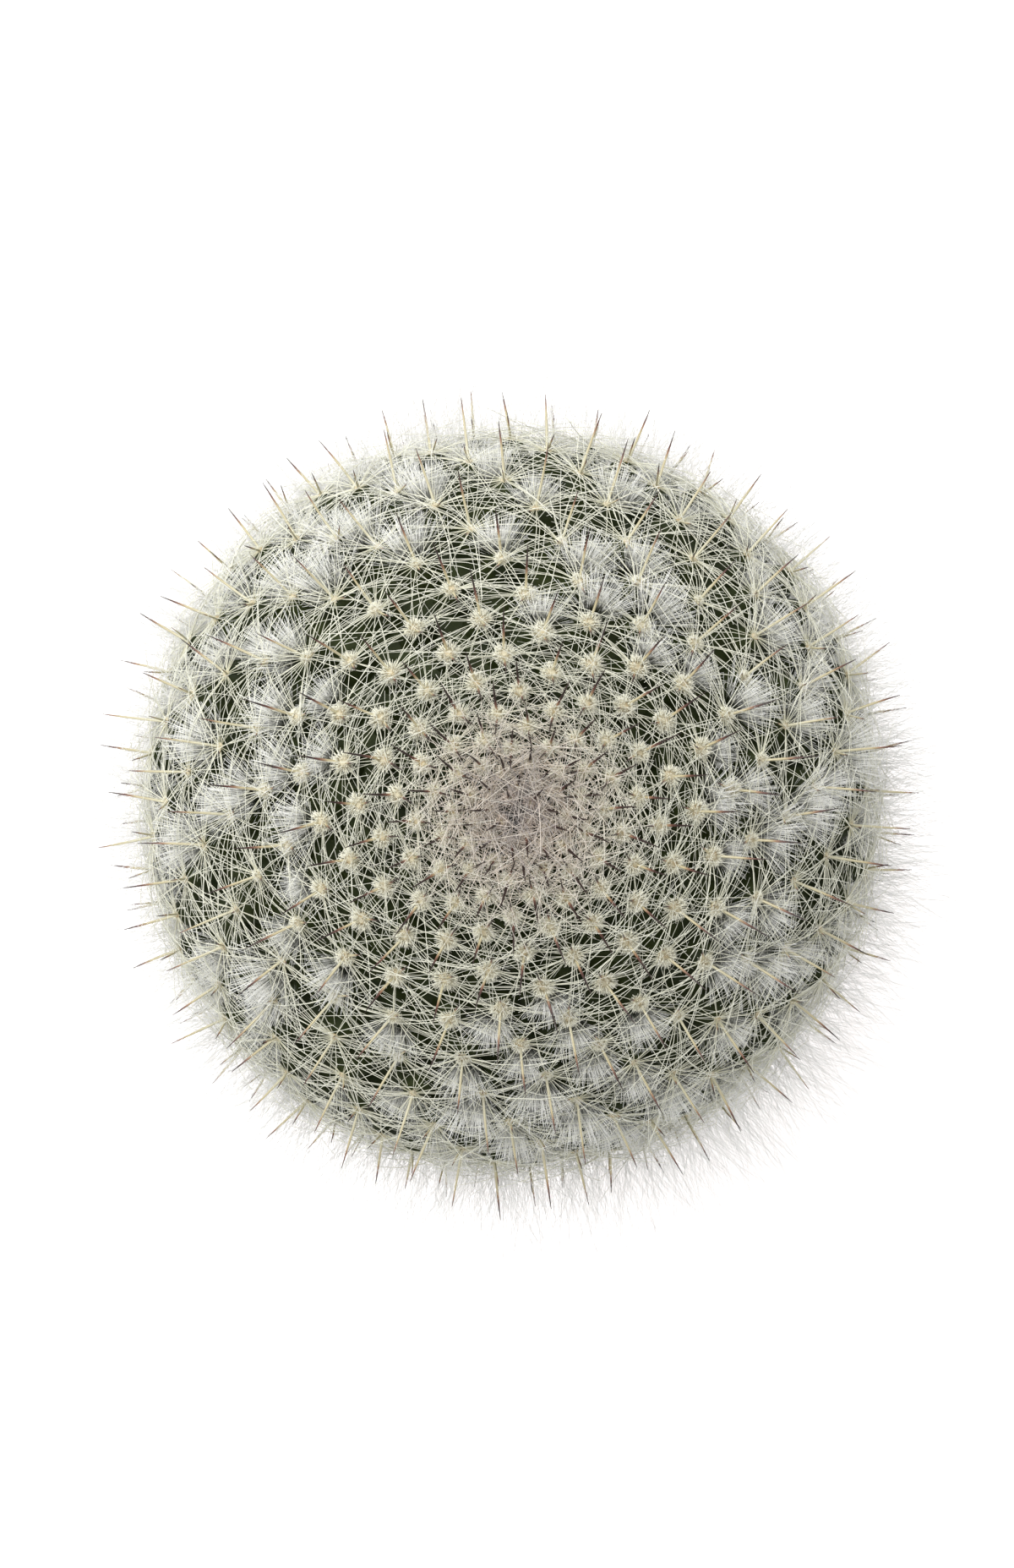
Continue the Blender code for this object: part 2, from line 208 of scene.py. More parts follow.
def tuberclePlaces():
    margin = stemShape["lastMargin"] * float(spacingAt(meridian["along"][-1]))
    last = int(np.interp(meridian["along"][-1] - margin, meridian["along"], meridian["count"]))
    places = []
    for number in range(stemShape["firstTubercle"], last + 1):
        along = float(np.interp(number, meridian["count"], meridian["along"]))
        places.append((along, stemShape["firstAngle"] + 2 * math.pi * stemShape["turn"] * number))
    return places


def ageAt(along):
    gain = float(spacingAt(along)) - stemShape["spacingYoung"]
    return min(1.0, gain / (stemShape["spacingMature"] - stemShape["spacingYoung"]))


def pointMesh(name, rows):
    # loose points with directions, spacing, age and vigour, a factor on the hairs' length
    mesh = bpy.data.meshes.new(name)
    mesh.from_pydata([row[0] for row in rows], [], [])
    for column, label in ((1, "outward"), (2, "down")):
        layer = mesh.attributes.new(label, "FLOAT_VECTOR", "POINT")
        layer.data.foreach_set("vector", [part for row in rows for part in row[column]])
    for column, label in ((3, "spacing"), (4, "age"), (5, "vigour")):
        layer = mesh.attributes.new(label, "FLOAT", "POINT")
        layer.data.foreach_set("value", [row[column] for row in rows])
    return mesh


def areolePoints(name, low=0.0, high=1.0, vigour=None):
    # the tubercle tips between two distances from the crown
    return pointMesh(name, [(*onStem(along, angle), float(spacingAt(along)), ageAt(along),
                             vigour(along) if vigour else 1.0)
                            for along, angle in places if low <= along < high])


places = tuberclePlaces()
areoles = areolePoints("areoles")
print("stage: places,", len(places), "tubercles")


# Geometry Nodes: sprays of tapered hairs, bristles or spines from points

sprayInputs = (
    ("Geometry", "Geometry", None), ("Count", "Int", 12), ("Young Chance", "Float", 1.0),
    ("Least Age", "Float", -1.0), ("Side Centre", "Float", 0.0), ("Side Range", "Float", 6.2832),
    ("Side Scatter", "Float", 0.2), ("Side Pull", "Float", 0.0), ("Rise Low", "Float", 0.2),
    ("Rise High", "Float", 0.6), ("Young Lift", "Float", 0.6), ("Length", "Float", 0.009),
    ("Length Scatter", "Float", 0.15), ("Young Share", "Float", 0.45), ("Slims", "Float", 0.6),
    ("Root Radius", "Float", 0.0001), ("Tip Share", "Float", 0.2), ("Needle", "Bool", False),
    ("Tip Radius", "Float", 0.0), ("Taper", "Float", 1.0), ("Sides", "Int", 3),
    ("Joints", "Int", 5), ("Bend", "Float", 0.05), ("Bend Scatter", "Float", 0.5),
    ("Root Spread", "Float", 0.05), ("Root Lift", "Float", 0.0), ("Curl", "Float", 0.0),
    ("Curl Scale", "Float", 200.0), ("Curl Differs", "Float", 30.0), ("Seed", "Int", 1),
    ("Material", "Material", None),
)
sprayLimits = {
    "pullGain": 3.0, "pullLeast": 0.3,  # how the pull to the sides grows with youth
    "steepest": 1.52,
    "nearestRoot": 0.2,  # of the root spread
}


def randomFloat(tree, low, high, seed, offset):
    sockets = {2: low, 3: high, "Seed": mathNode(tree, "ADD", seed, offset)}
    return addNode(tree, "FunctionNodeRandomValue", sockets, data_type="FLOAT").outputs[1]


def randomVector(tree, low, high, seed, offset):
    sockets = {0: low, 1: high, "Seed": mathNode(tree, "ADD", seed, offset)}
    return addNode(tree, "FunctionNodeRandomValue", sockets, data_type="FLOAT_VECTOR").outputs[0]


def namedField(tree, name, kind="FLOAT"):
    node = addNode(tree, "GeometryNodeInputNamedAttribute", {"Name": name}, data_type=kind)
    return node.outputs["Attribute"]


def storeField(tree, geometry, name, value):
    sockets = {"Geometry": geometry, "Name": name, "Value": value}
    node = addNode(tree, "GeometryNodeStoreNamedAttribute", sockets, data_type="FLOAT",
                   domain="POINT")
    return node.outputs["Geometry"]


def facing(tree, axis, side):
    # a rotation that takes Z to axis and X towards side
    return addNode(tree, "FunctionNodeAxesToRotation", {0: axis, 1: side}, primary_axis="Z",
                   secondary_axis="X").outputs[0]


def swung(tree, first, second, angle):
    # the direction at this angle from first towards second
    parts = [scaled(tree, vector, mathNode(tree, operation, angle))
             for vector, operation in ((first, "COSINE"), (second, "SINE"))]
    return vectorNode(tree, "ADD", *parts)


def moved(tree, geometry, offset):
    sockets = {"Geometry": geometry, "Offset": offset}
    return addNode(tree, "GeometryNodeSetPosition", sockets).outputs[0]


def realized(tree, node):
    return addNode(tree, "GeometryNodeRealizeInstances", {0: node.outputs[0]}).outputs[0]


def paintLast(tree, geometry, given, result):
    sockets = {"Geometry": geometry, "Material": given["Material"]}
    paint = addNode(tree, "GeometryNodeSetMaterial", sockets)
    tree.links.new(paint.outputs[0], result["Geometry"])
    return tree


def hairShape(tree, given):
    # one bent, tapered hair along +Z, its share of the length kept as "along"
    top = addNode(tree, "ShaderNodeCombineXYZ", {"Z": given["Length"]})
    line = addNode(tree, "GeometryNodeCurvePrimitiveLine",
                   {"Start": (0, 0, 0), "End": top.outputs[0]})
    resample = addNode(tree, "GeometryNodeResampleCurve",
                       {"Curve": line.outputs["Curve"], "Count": given["Joints"]})
    share = addNode(tree, "GeometryNodeSplineParameter").outputs["Factor"]
    stored = storeField(tree, resample.outputs["Curve"], "along", share)
    bow = times(tree, mathNode(tree, "POWER", share, 2.0),
                times(tree, given["Bend"], given["Length"]))
    bent = moved(tree, stored, addNode(tree, "ShaderNodeCombineXYZ", {"X": bow}).outputs[0])
    ring = addNode(tree, "GeometryNodeCurvePrimitiveCircle",
                   {"Resolution": given["Sides"], "Radius": given["Root Radius"]})
    fade = mathNode(tree, "POWER", share, given["Taper"])
    width = oneMinus(tree, times(tree, fade, oneMinus(tree, given["Tip Share"])))
    tube = addNode(tree, "GeometryNodeCurveToMesh", {
        "Curve": bent, "Profile Curve": ring.outputs["Curve"], "Scale": width, "Fill Caps": True})
    return tube.outputs["Mesh"]


def needleShape(tree, given):
    # the plainest hair along +Z: three sides that meet in a point at one end
    cone = addNode(tree, "GeometryNodeMeshCone", {
        "Vertices": 3, "Radius Bottom": given["Root Radius"], "Radius Top": given["Tip Radius"],
        "Depth": given["Length"]}, fill_type="NGON")
    place = addNode(tree, "GeometryNodeInputPosition").outputs[0]
    height = addNode(tree, "ShaderNodeSeparateXYZ", {0: place}).outputs["Z"]
    return storeField(tree, cone.outputs["Mesh"], "along",
                      mathNode(tree, "DIVIDE", height, given["Length"]))


def buildSprayTree():
    tree, given, result = openGroup("spray", "GeometryNodeTree", sprayInputs,
                                    ("Geometry", "Geometry"))
    limits = sprayLimits
    outward, down = (namedField(tree, name, "FLOAT_VECTOR") for name in ("outward", "down"))
    spacing, age, vigour = (namedField(tree, name) for name in ("spacing", "age", "vigour"))
    across = vectorNode(tree, "CROSS_PRODUCT", outward, down)
    youth = oneMinus(tree, age)
    copies = addNode(tree, "GeometryNodeDuplicateElements",
                     {"Geometry": given["Geometry"], "Amount": given["Count"]}, domain="POINT")

    # direction: an even turn round the point with some scatter, and a rise off the skin
    number = mathNode(tree, "ADD", copies.outputs["Duplicate Index"], 0.5)
    turnShare = mathNode(tree, "DIVIDE", number, given["Count"])
    centred = times(tree, mathNode(tree, "SUBTRACT", turnShare, 0.5), given["Side Range"])
    scatter = times(tree, randomFloat(tree, -1.0, 1.0, given["Seed"], 1), given["Side Scatter"])
    side = mathNode(tree, "ADD", mathNode(tree, "ADD", centred, scatter), given["Side Centre"])
    # hairs drawn to the sides lie round the crown; older ones let go of this
    pull = mathNode(tree, "MULTIPLY_ADD", youth, limits["pullGain"], limits["pullLeast"])
    pull = times(tree, mathNode(tree, "MINIMUM", pull, 1.0), given["Side Pull"])
    turnTwice = mathNode(tree, "SINE", times(tree, side, 2.0))
    side = mathNode(tree, "MULTIPLY_ADD", turnTwice, pull, side)
    riseSpan = mathNode(tree, "SUBTRACT", given["Rise High"], given["Rise Low"])
    rise = mathNode(tree, "MULTIPLY_ADD", randomFloat(tree, 0.0, 1.0, given["Seed"], 2), riseSpan,
                    given["Rise Low"])
    newest = mathNode(tree, "POWER", youth, 2.0)
    rise = mathNode(tree, "MULTIPLY_ADD", newest, given["Young Lift"], rise)
    rise = mathNode(tree, "MINIMUM", rise, limits["steepest"])
    flat = swung(tree, down, across, side)
    way = swung(tree, flat, outward, rise)

    # roots stand in a small disc round the point
    spread = times(tree, times(tree, given["Root Spread"], vigour), spacing)
    spread = times(tree, spread, randomFloat(tree, limits["nearestRoot"], 1.0, given["Seed"], 3))
    lift = times(tree, given["Root Lift"], spacing)
    offset = vectorNode(tree, "ADD", scaled(tree, flat, spread), scaled(tree, outward, lift))
    toned = storeField(tree, moved(tree, copies.outputs["Geometry"], offset), "tone",
                       randomFloat(tree, 0.0, 1.0, given["Seed"], 4))

    # one hair on each root, bent in a plane near the outward direction
    loose = randomVector(tree, (-1, -1, -1), (1, 1, 1), given["Seed"], 5)
    bendSide = vectorNode(tree, "ADD", outward, scaled(tree, loose, given["Bend Scatter"]))
    shortfall = times(tree, youth, oneMinus(tree, given["Young Share"]))
    growth = times(tree, oneMinus(tree, shortfall), vigour)
    cut = times(tree, given["Length Scatter"], randomFloat(tree, 0.0, 1.0, given["Seed"], 6))
    size = times(tree, growth, oneMinus(tree, cut))
    slim = mathNode(tree, "POWER", growth, given["Slims"])
    stretch = addNode(tree, "ShaderNodeCombineXYZ", {0: slim, 1: slim, 2: size})
    missing = times(tree, youth, oneMinus(tree, given["Young Chance"]))
    kept = mathNode(tree, "GREATER_THAN", randomFloat(tree, 0.0, 1.0, given["Seed"], 7), missing)
    oldEnough = mathNode(tree, "GREATER_THAN", age, given["Least Age"])
    shape = addNode(tree, "GeometryNodeSwitch", {
        "Switch": given["Needle"], "False": hairShape(tree, given),
        "True": needleShape(tree, given)}, input_type="GEOMETRY")
    onPoints = addNode(tree, "GeometryNodeInstanceOnPoints", {
        "Points": toned, "Selection": times(tree, kept, oldEnough), "Instance": shape.outputs[0],
        "Rotation": facing(tree, way, bendSide), "Scale": stretch.outputs[0]})

    # soft waves that grow towards the tips
    phase = times(tree, namedField(tree, "tone"), given["Curl Differs"])
    field = addNode(tree, "ShaderNodeTexNoise", noise_dimensions="4D", sockets={
        "Scale": given["Curl Scale"], "Detail": 1.0, "W": phase})
    sway = vectorNode(tree, "SUBTRACT", field.outputs["Color"], (0.5, 0.5, 0.5))
    reach = times(tree, namedField(tree, "along"), given["Curl"])
    wave = moved(tree, realized(tree, onPoints), scaled(tree, sway, reach))
    smooth = addNode(tree, "GeometryNodeSetShadeSmooth", {"Geometry": wave})
    return paintLast(tree, smooth.outputs[0], given, result)


sprayTree = buildSprayTree()
print("stage: spray tree built")


# Helpers for materials

def newMaterial(name, colour, roughness, **sockets):
    material = bpy.data.materials.new(name)
    material.use_nodes = True
    shader = material.node_tree.nodes["Principled BSDF"]
    shader.inputs["Base Color"].default_value = (*colour, 1.0)
    shader.inputs["Roughness"].default_value = roughness
    for label, value in sockets.items():
        shader.inputs[label.replace("_", " ")].default_value = value
    material.diffuse_color = (*colour, 1.0)
    return material, material.node_tree


def wire(material, colour, normal=None, roughness=None):
    # links what is given into the material's shader
    tree = material.node_tree
    inputs = tree.nodes["Principled BSDF"].inputs
    for label, value in (("Base Color", colour), ("Normal", normal), ("Roughness", roughness)):
        if value is not None:
            tree.links.new(value, inputs[label])
    return material


def colourRamp(tree, factor, stops):
    ramp = addNode(tree, "ShaderNodeValToRGB", {"Fac": factor})
    while len(ramp.color_ramp.elements) < len(stops):
        ramp.color_ramp.elements.new(0.5)
    for element, (place, colour) in zip(ramp.color_ramp.elements, stops):
        element.position = place
        element.color = (*colour, 1.0)
    return ramp.outputs["Color"]


def mixColour(tree, factor, first, second, blend="MIX"):
    first, second = ((*value, 1.0) if isinstance(value, tuple) else value
                     for value in (first, second))
    sockets = {0: factor, 6: first, 7: second}
    return addNode(tree, "ShaderNodeMix", sockets, data_type="RGBA", blend_type=blend).outputs[2]


def attributeField(tree, name):
    return addNode(tree, "ShaderNodeAttribute", attribute_name=name).outputs["Fac"]


def mapped(tree, value, low, high, toLow=0.0, toHigh=1.0):
    return addNode(tree, "ShaderNodeMapRange", {
        "Value": value, "From Min": low, "From Max": high, "To Min": toLow,
        "To Max": toHigh}).outputs["Result"]


def objectPlace(tree):
    return addNode(tree, "ShaderNodeTexCoord").outputs["Object"]


def objectHeight(tree):
    return addNode(tree, "ShaderNodeSeparateXYZ", {0: objectPlace(tree)}).outputs["Z"]


# Shader groups shared by several materials

def buildMottleGroup():
    # soft blotches as a mask from 0 to 1, on the object's own coordinates
    tree, given, result = openGroup("mottle", "ShaderNodeTree", [
        (label, "Float", None) for label in ("Scale", "Detail", "Low", "High")], ("Mask", "Float"))
    field = addNode(tree, "ShaderNodeTexNoise", {
        "Vector": objectPlace(tree), "Scale": given["Scale"], "Detail": given["Detail"]})
    mask = mapped(tree, field.outputs["Fac"], given["Low"], given["High"])
    tree.links.new(mask, result["Mask"])
    return tree


def buildGrainGroup():
    # bumpy grain: a bent normal from two sizes of noise
    tree, given, result = openGroup("grain", "ShaderNodeTree", [
        (label, "Float", None) for label in ("Coarse", "Fine", "Strength", "Depth")],
        ("Normal", "Vector"))
    place = objectPlace(tree)
    coarse, fine = (addNode(tree, "ShaderNodeTexNoise", {
        "Detail": 3.0, "Vector": place, "Scale": given[label]}).outputs["Fac"]
        for label in ("Coarse", "Fine"))
    bump = addNode(tree, "ShaderNodeBump", {
        "Height": mathNode(tree, "MULTIPLY_ADD", fine, 0.35, coarse),
        "Strength": given["Strength"], "Distance": given["Depth"]})
    tree.links.new(bump.outputs["Normal"], result["Normal"])
    return tree


mottleGroup = buildMottleGroup()
grainGroup = buildGrainGroup()


def mottle(tree, scale, detail=4.0, low=0.35, high=0.65):
    sockets = {"Scale": scale, "Detail": detail, "Low": low, "High": high}
    return addNode(tree, "ShaderNodeGroup", sockets, node_tree=mottleGroup).outputs["Mask"]


def grain(tree, coarse, fine, strength, depth=0.0002):
    sockets = {"Coarse": coarse, "Fine": fine, "Strength": strength, "Depth": depth}
    return addNode(tree, "ShaderNodeGroup", sockets, node_tree=grainGroup).outputs["Normal"]


# Materials

def bristleMaterial():
    material, tree = newMaterial("whiteBristle", (0.85, 0.84, 0.77), 0.42)
    along, age, tone = (attributeField(tree, name) for name in ("along", "age", "tone"))
    grown = colourRamp(tree, along, ((0.0, (0.78, 0.75, 0.54)), (0.16, (0.90, 0.89, 0.73)),
                                     (1.0, (0.94, 0.94, 0.83))))
    young = colourRamp(tree, along, ((0.0, (0.80, 0.66, 0.49)), (0.4, (0.91, 0.80, 0.69)),
                                     (1.0, (0.94, 0.86, 0.77))))
    # the bristles of the newest areoles, round the middle of the crown, are painted dark grey:
    # painted shade among the bristles there, not a colour they have
    newest = mixColour(tree, mapped(tree, age, 0.04, 0.15), (0.36, 0.33, 0.33), young)
    ageColourAndCrownShade = mixColour(tree, mapped(tree, age, 0.16, 0.46), newest, grown)
    shade = mapped(tree, tone, 0.0, 1.0, 0.82, 1.0)
    return wire(material, mixColour(tree, 1.0, ageColourAndCrownShade, shade, "MULTIPLY"))


def spineMaterial():
    material, tree = newMaterial("brownTippedSpine", (0.5, 0.3, 0.12), 0.38)
    along, age, tone = (attributeField(tree, name) for name in ("along", "age", "tone"))
    youth = mapped(tree, age, 0.15, 1.0, 0.46, -0.18)
    jitter = mapped(tree, tone, 0.0, 1.0, -0.14, 0.14)
    place = mathNode(tree, "ADD", mathNode(tree, "ADD", along, youth), jitter)
    return wire(material, colourRamp(tree, place, (
        (0.0, (0.60, 0.57, 0.41)), (0.44, (0.52, 0.45, 0.27)), (0.56, (0.30, 0.17, 0.10)),
        (0.65, (0.12, 0.048, 0.036)), (0.80, (0.028, 0.014, 0.012)))))


def feltMaterial():
    material, tree = newMaterial("areoleFelt", (0.86, 0.79, 0.58), 0.8)
    grown = colourRamp(tree, attributeField(tree, "along"), (
        (0.0, (0.76, 0.66, 0.42)), (0.7, (0.92, 0.89, 0.74)), (1.0, (0.94, 0.93, 0.80))))
    fresh = mapped(tree, attributeField(tree, "age"), 0.06, 0.26, 1.0, 0.0)
    return wire(material, mixColour(tree, fresh, grown, (0.68, 0.575, 0.50)))


def cushionMaterial():
    material, tree = newMaterial("areoleCushion", (0.78, 0.68, 0.44), 0.85)
    mask = mottle(tree, 1500.0, low=0.45, high=0.7)
    fresh = mixColour(tree, mask, (0.62, 0.57, 0.42), (0.46, 0.35, 0.19))
    worn = mixColour(tree, mask, (0.64, 0.57, 0.40), (0.48, 0.36, 0.20))
    grown = mapped(tree, attributeField(tree, "age"), 0.8, 1.0)
    return wire(material, mixColour(tree, grown, fresh, worn))


def woolMaterial(name, dull, bright):
    material, tree = newMaterial(name, bright, 0.5)
    tone = attributeField(tree, "tone")
    return wire(material, colourRamp(tree, tone, ((0.0, dull), (1.0, bright))))


def fleshMaterial():
    material, tree = newMaterial("greenFlesh", (0.035, 0.055, 0.026), 0.6, Specular_IOR_Level=0.18)
    green = mixColour(tree, mottle(tree, 260.0, 5.0), (0.012, 0.017, 0.004), (0.029, 0.039, 0.009))
    cork = mapped(tree, objectHeight(tree), 0.092, 0.078)
    flecks = mottle(tree, 600.0, low=0.3, high=0.6)
    corky = mixColour(tree, flecks, (0.12, 0.085, 0.045), (0.24, 0.18, 0.11))
    return wire(material, mixColour(tree, times(tree, cork, flecks), green, corky),
                grain(tree, 900.0, 4000.0, 0.35))


def clayMaterial():
    material, tree = newMaterial("terracottaClay", (0.52, 0.23, 0.13), 0.85)
    clay = mixColour(tree, mottle(tree, 45.0, 6.0), (0.33, 0.112, 0.053), (0.43, 0.165, 0.086))
    speck = mottle(tree, 1400.0, low=0.60, high=0.68)
    clay = mixColour(tree, times(tree, speck, 0.5), clay, (0.30, 0.12, 0.07))
    # pale salts near the foot and over the rim
    bloom = mottle(tree, 70.0, 8.0, 0.52, 0.74)
    height = objectHeight(tree)
    low = mapped(tree, height, 0.050, 0.004)
    rim = mapped(tree, height, 0.070, 0.080, 0.0, 0.7)
    salts = times(tree, bloom, mathNode(tree, "MAXIMUM", low, rim))
    clay = mixColour(tree, times(tree, salts, 0.75), clay, (0.68, 0.60, 0.53))
    return wire(material, clay, grain(tree, 350.0, 2600.0, 0.45, 0.00025),
                mapped(tree, bloom, 0.0, 1.0, 0.78, 0.95))


def compostMaterial():
    material, tree = newMaterial("gritCompost", (0.07, 0.045, 0.03), 0.95)
    earth = mixColour(tree, mottle(tree, 500.0, 6.0), (0.030, 0.019, 0.013), (0.12, 0.082, 0.055))
    return wire(material, earth, grain(tree, 700.0, 3500.0, 0.9, 0.0005))


def gritMaterial():
    material, tree = newMaterial("looseGrit", (0.3, 0.26, 0.2), 0.85)
    tone = colourRamp(tree, attributeField(tree, "tone"), (
        (0.0, (0.05, 0.032, 0.022)), (0.45, (0.13, 0.085, 0.055)), (0.62, (0.42, 0.36, 0.28)),
        (0.85, (0.62, 0.58, 0.52)), (1.0, (0.30, 0.20, 0.14))))
    dust = times(tree, mottle(tree, 1200.0), 0.35)
    return wire(material, mixColour(tree, dust, tone, (0.20, 0.15, 0.11)),
                grain(tree, 1200.0, 5000.0, 0.6))


print("stage: materials ready")


# Stem: a smooth core with a round cone on every place

tubercleShape = {
    "sides": 11,
    # outline in shares of the spacing: distance from the axis, depth below the tip
    "outline": ((0.10, 0.01), (0.19, 0.08), (0.255, 0.18), (0.31, 0.30), (0.375, 0.44),
                (0.45, 0.58), (0.54, 0.74)),
}
coreShape = {
    "start": 0.0015, "rings": 40, "sides": 72,
    "sunk": 0.98,  # of a tubercle's height
    # the neck: how far it lies inside the last ring, and its height
    "neck": ((0.0013, 0.0748), (0.0017, 0.0726), (0.0057, 0.0590)), "foot": 0.0588,
}


def turned(bm, outline, sides, closeTop=None, closeFoot=None):
    # turns an outline of (radius, height) round Z; caps end in a middle point
    rings = []
    for radius, height in outline:
        ring = []
        for k in range(sides):
            angle = 2 * math.pi * k / sides
            ring.append(bm.verts.new((radius * math.cos(angle), radius * math.sin(angle), height)))
        rings.append(ring)
    for upper, lower in zip(rings, rings[1:]):
        for k in range(sides):
            after = (k + 1) % sides
            bm.faces.new((upper[k], lower[k], lower[after], upper[after]))
    for ring, height in ((rings[0], closeTop), (rings[-1], closeFoot)):
        if height is not None:
            middle = bm.verts.new((0, 0, height))
            for k in range(sides):
                bm.faces.new((ring[k], ring[(k + 1) % sides], middle))
    return rings


def meshFrom(bm, name, recalculate=True):
    if recalculate:
        bmesh.ops.recalc_face_normals(bm, faces=bm.faces)
    for face in bm.faces:
        face.smooth = True
    mesh = bpy.data.meshes.new(name)
    bm.to_mesh(mesh)
    bm.free()
    return mesh


def tubercleMesh():
    bm = bmesh.new()
    outline = [(radius, -depth) for radius, depth in tubercleShape["outline"]]
    turned(bm, outline, tubercleShape["sides"], closeTop=0.0, closeFoot=outline[-1][1])
    return meshFrom(bm, "tubercle")


def coreMesh():
    # the skin between the tubercles, then the plain neck down into the soil
    c = coreShape
    bm = bmesh.new()
    outline = []
    for along in np.linspace(c["start"], meridian["along"][-1], c["rings"]):
        sunk = stemShape["tubercleHeight"] * float(spacingAt(along)) * c["sunk"]
        point = onStem(float(along), 0.0, sunk)[0]
        outline.append((point.x, point.z))
    neckTop = outline[-1][0]
    outline += [(neckTop - inset, height) for inset, height in c["neck"]]
    top = onStem(0.0, 0.0, stemShape["tubercleHeight"] * stemShape["spacingYoung"])[0].z
    turned(bm, outline, c["sides"], closeTop=top, closeFoot=c["foot"])
    return meshFrom(bm, "core")


def buildTubercleTree():
    tree, given, result = openGroup("tubercles", "GeometryNodeTree", (
        ("Geometry", "Geometry", None), ("Tubercle", "Object", None), ("Core", "Object", None),
        ("Lean", "Float", 0.12), ("Size Scatter", "Float", 0.06), ("Seed", "Int", 3),
        ("Material", "Material", None)), ("Geometry", "Geometry"))
    outward, down = (namedField(tree, name, "FLOAT_VECTOR") for name in ("outward", "down"))
    axis = vectorNode(tree, "SUBTRACT", outward, scaled(tree, down, given["Lean"]))
    scatter = times(tree, randomFloat(tree, -1.0, 1.0, given["Seed"], 0), given["Size Scatter"])
    size = times(tree, namedField(tree, "spacing"), mathNode(tree, "ADD", scatter, 1.0))
    cone, core = (addNode(tree, "GeometryNodeObjectInfo", {"Object": given[label]})
                  .outputs["Geometry"] for label in ("Tubercle", "Core"))
    onPoints = addNode(tree, "GeometryNodeInstanceOnPoints", {
        "Points": given["Geometry"], "Instance": cone, "Rotation": facing(tree, axis, down),
        "Scale": size})
    join = addNode(tree, "GeometryNodeJoinGeometry", {0: onPoints.outputs[0]})
    tree.links.new(core, join.inputs[0])
    return paintLast(tree, realized(tree, join), given, result)


def buildStem():
    cone = newObject("coneShape", tubercleMesh())
    core = newObject("coreShape", coreMesh())
    piece = grow("stemBody", areoles.copy(), buildTubercleTree(),
                 {"Tubercle": cone, "Core": core, "Material": fleshMaterial()})
    for helper in (cone, core):
        bpy.data.objects.remove(helper)
    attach(piece, "root")
    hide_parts("stem")


buildStem()
print("stage: stem")


# Areoles: a small cushion with a ball of short cream fibres on every tip

cushions = {
    "Count": 1, "Rise Low": 1.5, "Rise High": 1.52, "Young Lift": 0.0, "Side Scatter": 0.0,
    "Length": 0.00075, "Length Scatter": 0.1, "Young Share": 0.5, "Slims": 0.7,
    "Root Radius": 0.00106, "Tip Share": 0.4, "Taper": 2.5, "Sides": 8, "Joints": 4, "Bend": 0.0,
    "Bend Scatter": 0.1, "Root Spread": 0.0, "Root Lift": -0.012, "Seed": 5,
}
feltFibres = {
    "Count": 284, "Rise Low": 0.0, "Rise High": 1.40, "Young Lift": 0.0, "Side Scatter": 0.5,
    "Length": 0.00164, "Length Scatter": 0.28, "Young Share": 0.68, "Slims": 0.2, "Needle": True,
    "Root Radius": 0.0, "Tip Radius": 0.000040, "Bend Scatter": 1.0, "Root Spread": 0.11,
    "Seed": 11,
    # old areoles lose their felt
    "fullTo": 0.024, "wornFrom": 0.038, "wornShare": 0.38, "wornCount": 54,
}

# Radial bristles: long, slightly curved, lying low over the neighbours
radialBristles = {
    "Count": 12, "Rise Low": -0.06, "Rise High": 0.42, "Young Lift": 0.30, "Side Scatter": 0.22,
    "Young Chance": 0.46, "Side Pull": 0.465, "Length": 0.0122, "Length Scatter": 0.34,
    "Young Share": 0.76, "Slims": 0.9, "Root Radius": 0.000061, "Tip Share": 0.64, "Taper": 1.3,
    "Joints": 4, "Bend": -0.27, "Bend Scatter": 0.7, "Root Spread": 0.06, "Root Lift": -0.005,
}

# Short bristles that crowd over the middle of the crown
crownBristles = {
    "Count": 14, "Side Scatter": 0.3, "Rise Low": -0.10, "Rise High": 0.45, "Young Lift": 0.30,
    "Length": 0.0088, "Length Scatter": 0.45, "Young Share": 0.60, "Slims": 0.5, "Side Pull": 0.4,
    "Root Radius": 0.000054, "Tip Share": 0.6, "Taper": 1.5, "Joints": 3, "Bend": 0.03,
    "Bend Scatter": 1.0, "Root Spread": 0.10, "Seed": 31, "reach": 0.0125,
}

# A little down over the growing point, where there is no tubercle yet; it takes the newest
# bristles' dark grey, painted shade of the crown's middle
crownDown = {
    "Count": 240, "Side Scatter": 0.5, "Rise Low": 0.10, "Rise High": 1.50, "Young Lift": 0.0,
    "Length": 0.0030, "Length Scatter": 0.6, "Young Share": 1.0, "Needle": True,
    "Root Radius": 0.0, "Tip Radius": 0.000026, "Bend Scatter": 1.0, "Root Spread": 0.2,
    "Seed": 97, "sunk": 0.0007,
}

# More bristles below the shoulder, fanned down the stem like a skirt
skirtBristles = {
    **radialBristles, "Side Range": 2.9, "Side Scatter": 0.3, "Count": 8, "Rise Low": -0.15,
    "Rise High": 0.40, "Side Pull": 0.0, "Length": 0.0118, "Seed": 61,
    "fromAlong": 0.031, "toAlong": 0.062,
}

# Central spines: a long one pointing down the stem, a shorter one pointing up it
outerSpines = {
    "Count": 1, "Side Range": 0.0, "Side Scatter": 0.28, "Rise Low": 0.62, "Rise High": 0.98,
    "Least Age": 0.05, "Young Lift": 0.35, "Length": 0.0088, "Length Scatter": 0.2,
    "Young Share": 0.52, "Slims": 0.1, "Root Radius": 0.00019, "Tip Share": 0.2, "Taper": 2.4,
    "Sides": 5, "Joints": 7, "Bend": 0.05, "Bend Scatter": 0.4, "Root Spread": 0.03,
    "Root Lift": -0.01, "Seed": 41,
}
innerSpines = {
    **outerSpines, "Side Centre": 3.1416, "Side Scatter": 0.35, "Rise Low": 0.55,
    "Rise High": 0.90, "Least Age": 0.24, "Length": 0.0056, "Root Radius": 0.00015,
    "Young Share": 0.80, "Seed": 57,
}

